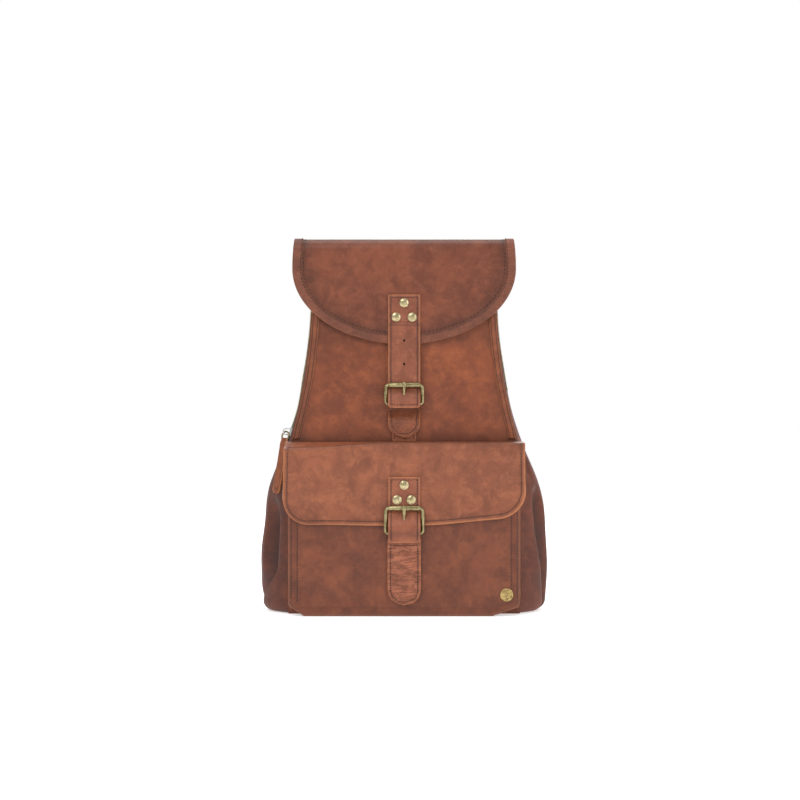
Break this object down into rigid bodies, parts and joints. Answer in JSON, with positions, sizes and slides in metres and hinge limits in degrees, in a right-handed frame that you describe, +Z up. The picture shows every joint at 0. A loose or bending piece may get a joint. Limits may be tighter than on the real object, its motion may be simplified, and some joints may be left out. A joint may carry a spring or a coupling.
{
  "type": "leather backpack",
  "caption": "Leather backpack with a buckled top flap, a zipped main compartment, a strapped front pocket, a grab handle and two shoulder straps.",
  "frame": {"origin": "on the floor, under the middle of the whole object's box", "axes": "+Z up, -Y to the front of the bag, +X to the right seen from the front"},
  "size_m": [0.3194, 0.1624, 0.409],
  "materials": {
    "back_foam": "closed cell foam",
    "back_panel": "full grain cognac leather, waxed, with worn edges",
    "badge": "antique brass, rubbed bright on its high points",
    "base_board": "plastic stiffener board",
    "base_panel": "full grain cognac leather, waxed, with worn edges",
    "buckle_tab": "full grain cognac leather, waxed, with worn edges",
    "flap_binding": "full grain cognac leather, waxed, with worn edges",
    "flap_leather": "full grain cognac leather, waxed, with worn edges",
    "flap_lining": "plain woven cotton lining",
    "flap_rivets": "antique brass, rubbed bright on its high points",
    "flap_seam": "full grain cognac leather, waxed, with worn edges",
    "flap_strap": "full grain cognac leather, waxed, with worn edges",
    "front_panel": "full grain cognac leather, waxed, with worn edges",
    "grab_handle": "full grain cognac leather, waxed, with worn edges",
    "gusset_left": "full grain leather, waxed, darker in its folds",
    "gusset_right": "full grain leather, waxed, darker in its folds",
    "handle_brackets": "antique brass, rubbed bright on its high points",
    "inner_pocket": "plain woven cotton lining",
    "inner_slider": "antique brass",
    "inner_zip": "woven zip tape",
    "lining": "plain woven cotton lining",
    "lower_strap_left": "full grain cognac leather, waxed, with worn edges",
    "lower_strap_right": "full grain cognac leather, waxed, with worn edges",
    "lower_tabs": "full grain cognac leather, waxed, with worn edges",
    "main_buckle_frame": "antique brass, rubbed bright on its high points",
    "main_prong": "antique brass, rubbed bright on its high points",
    "main_roller": "antique brass, rubbed bright on its high points",
    "pocket_buckle_frame": "antique brass, rubbed bright on its high points",
    "pocket_flap": "full grain cognac leather, waxed, with worn edges",
    "pocket_flap_top": "full grain cognac leather, waxed, with worn edges",
    "pocket_flap_welt": "full grain cognac leather, waxed, with worn edges",
    "pocket_front": "full grain cognac leather, waxed, with worn edges",
    "pocket_gusset": "full grain cognac leather, waxed, with worn edges",
    "pocket_lining": "plain woven cotton lining",
    "pocket_prong": "antique brass, rubbed bright on its high points",
    "pocket_rivets": "antique brass, rubbed bright on its high points",
    "pocket_roller": "antique brass, rubbed bright on its high points",
    "pocket_strap": "full grain cognac leather, waxed, with worn edges",
    "pocket_tongue": "full grain cognac leather, waxed, with worn edges",
    "popper_socket": "antique brass, rubbed bright on its high points",
    "popper_stud": "antique brass, rubbed bright on its high points",
    "puller_ring": "antique brass, rubbed bright on its high points",
    "puller_tab": "full grain cognac leather, waxed, with worn edges",
    "ring_left": "antique brass, rubbed bright on its high points",
    "ring_right": "antique brass, rubbed bright on its high points",
    "seam_band_left": "full grain cognac leather, waxed, with worn edges",
    "seam_band_right": "full grain cognac leather, waxed, with worn edges",
    "shoulder_adjuster_left": "antique brass, rubbed bright on its high points",
    "shoulder_adjuster_right": "antique brass, rubbed bright on its high points",
    "shoulder_pad_left": "full grain cognac leather, waxed, with worn edges",
    "shoulder_pad_right": "full grain cognac leather, waxed, with worn edges",
    "strap_yoke": "full grain cognac leather, waxed, with worn edges",
    "tab_strip": "full grain cognac leather, waxed, with worn edges",
    "yoke_rivets": "antique brass, rubbed bright on its high points",
    "zip_slider": "antique brass",
    "zip_stops": "antique brass",
    "zip_tape_back": "woven zip tape",
    "zip_tape_front": "woven zip tape",
    "zip_teeth_back": "antique brass",
    "zip_teeth_front": "antique brass"
  },
  "bodies": {
    "bag": {"front_panel": "front_panel", "back_panel": "back_panel", "base_panel": "base_panel", "gusset_left": "gusset_left", "gusset_right": "gusset_right", "base_board": "base_board", "back_foam": "back_foam", "lining": "lining", "seam_band_left": "seam_band_left", "seam_band_right": "seam_band_right", "zip_tape_front": "zip_tape_front", "zip_tape_back": "zip_tape_back", "zip_teeth_front": "zip_teeth_front", "zip_teeth_back": "zip_teeth_back", "zip_stops": "zip_stops", "flap_seam": "flap_seam", "main_buckle_frame": "main_buckle_frame", "main_prong": "main_prong", "tab_strip": "tab_strip", "buckle_tab": "buckle_tab", "pocket_front": "pocket_front", "pocket_gusset": "pocket_gusset", "pocket_lining": "pocket_lining", "badge": "badge", "pocket_flap_welt": "pocket_flap_welt", "popper_stud": "popper_stud", "strap_yoke": "strap_yoke", "yoke_rivets": "yoke_rivets", "handle_brackets": "handle_brackets", "lower_tabs": "lower_tabs", "inner_pocket": "inner_pocket", "inner_zip": "inner_zip"},
    "top_flap": {"flap_leather": "flap_leather", "flap_lining": "flap_lining", "flap_binding": "flap_binding", "flap_strap": "flap_strap", "flap_rivets": "flap_rivets"},
    "main_roller": {"main_roller": "main_roller"},
    "zip_slider": {"zip_slider": "zip_slider"},
    "zip_puller": {"puller_ring": "puller_ring", "puller_tab": "puller_tab"},
    "pocket_flap_top": {"pocket_flap_top": "pocket_flap_top"},
    "pocket_flap": {"pocket_flap": "pocket_flap", "pocket_strap": "pocket_strap", "pocket_rivets": "pocket_rivets", "pocket_buckle_frame": "pocket_buckle_frame", "pocket_prong": "pocket_prong"},
    "pocket_roller": {"pocket_roller": "pocket_roller"},
    "pocket_tongue": {"pocket_tongue": "pocket_tongue", "popper_socket": "popper_socket"},
    "grab_handle": {"grab_handle": "grab_handle"},
    "shoulder_left": {"shoulder_pad_left": "shoulder_pad_left", "shoulder_adjuster_left": "shoulder_adjuster_left"},
    "shoulder_right": {"shoulder_pad_right": "shoulder_pad_right", "shoulder_adjuster_right": "shoulder_adjuster_right"},
    "lower_strap_left": {"lower_strap_left": "lower_strap_left"},
    "lower_strap_right": {"lower_strap_right": "lower_strap_right"},
    "ring_left": {"ring_left": "ring_left"},
    "ring_right": {"ring_right": "ring_right"},
    "inner_slider": {"inner_slider": "inner_slider"}
  },
  "joints": [
    {"name": "top_flap_hinge", "type": "hinge", "parent": "bag", "child": "top_flap", "pos_m": [0, 0.0637, 0.401], "axis": [-1, 0, 0], "range_deg": [0, 150], "deforming": ["flap_strap"]},
    {"name": "main_roller_spin", "type": "hinge", "parent": "bag", "child": "main_roller", "pos_m": [0, -0.05015, 0.2486], "axis": [1, 0, 0], "continuous": true},
    {"name": "main_zip_slide", "type": "slide", "parent": "bag", "child": "zip_slider", "axis": [0.1749, 0, 0.9846], "range_m": [0, 0.108]},
    {"name": "zip_puller_swing", "type": "hinge", "parent": "zip_slider", "child": "zip_puller", "pos_m": [-0.12928, -0.02545, 0.198], "axis": [-0.7071, 0.7071, 0], "range_deg": [0, 100]},
    {"name": "pocket_flap_seam_hinge", "type": "hinge", "parent": "bag", "child": "pocket_flap_top", "pos_m": [0, -0.0422, 0.1869], "axis": [-1, 0, 0], "range_deg": [0, 75]},
    {"name": "pocket_flap_crease_hinge", "type": "hinge", "parent": "pocket_flap_top", "child": "pocket_flap", "pos_m": [0, -0.0682, 0.1856], "axis": [-1, 0, 0], "range_deg": [0, 75]},
    {"name": "pocket_roller_spin", "type": "hinge", "parent": "pocket_flap", "child": "pocket_roller", "pos_m": [0, -0.07455, 0.1165], "axis": [1, 0, 0], "continuous": true},
    {"name": "pocket_tongue_hinge", "type": "hinge", "parent": "pocket_flap", "child": "pocket_tongue", "pos_m": [0, -0.07455, 0.0897], "axis": [-1, 0, 0], "range_deg": [0, 25]},
    {"name": "grab_handle_swing", "type": "hinge", "parent": "bag", "child": "grab_handle", "pos_m": [0, 0.0692, 0.388], "axis": [-1, 0, 0], "range_deg": [-170, 0]},
    {"name": "shoulder_swing_left", "type": "hinge", "parent": "bag", "child": "shoulder_left", "pos_m": [-0.033, 0.0676, 0.336], "axis": [1, 0, 0], "range_deg": [0, 60]},
    {"name": "strap_length_left", "type": "slide", "parent": "shoulder_left", "child": "lower_strap_left", "axis": [-0.2734, 0, -0.9619], "range_m": [-0.03, 0.02]},
    {"name": "ring_swing_left", "type": "hinge", "parent": "lower_strap_left", "child": "ring_left", "pos_m": [-0.1119, 0.0686, 0.05843], "axis": [0.9619, 0, -0.2734], "range_deg": [0, 80]},
    {"name": "shoulder_swing_right", "type": "hinge", "parent": "bag", "child": "shoulder_right", "pos_m": [0.033, 0.0676, 0.336], "axis": [1, 0, 0], "range_deg": [0, 60]},
    {"name": "strap_length_right", "type": "slide", "parent": "shoulder_right", "child": "lower_strap_right", "axis": [0.2734, 0, -0.9619], "range_m": [-0.03, 0.02]},
    {"name": "ring_swing_right", "type": "hinge", "parent": "lower_strap_right", "child": "ring_right", "pos_m": [0.1119, 0.0686, 0.05843], "axis": [0.9619, 0, 0.2734], "range_deg": [0, 80]},
    {"name": "inner_zip_slide", "type": "slide", "parent": "bag", "child": "inner_slider", "axis": [1, 0, 0], "range_m": [0, 0.114]}
  ]
}
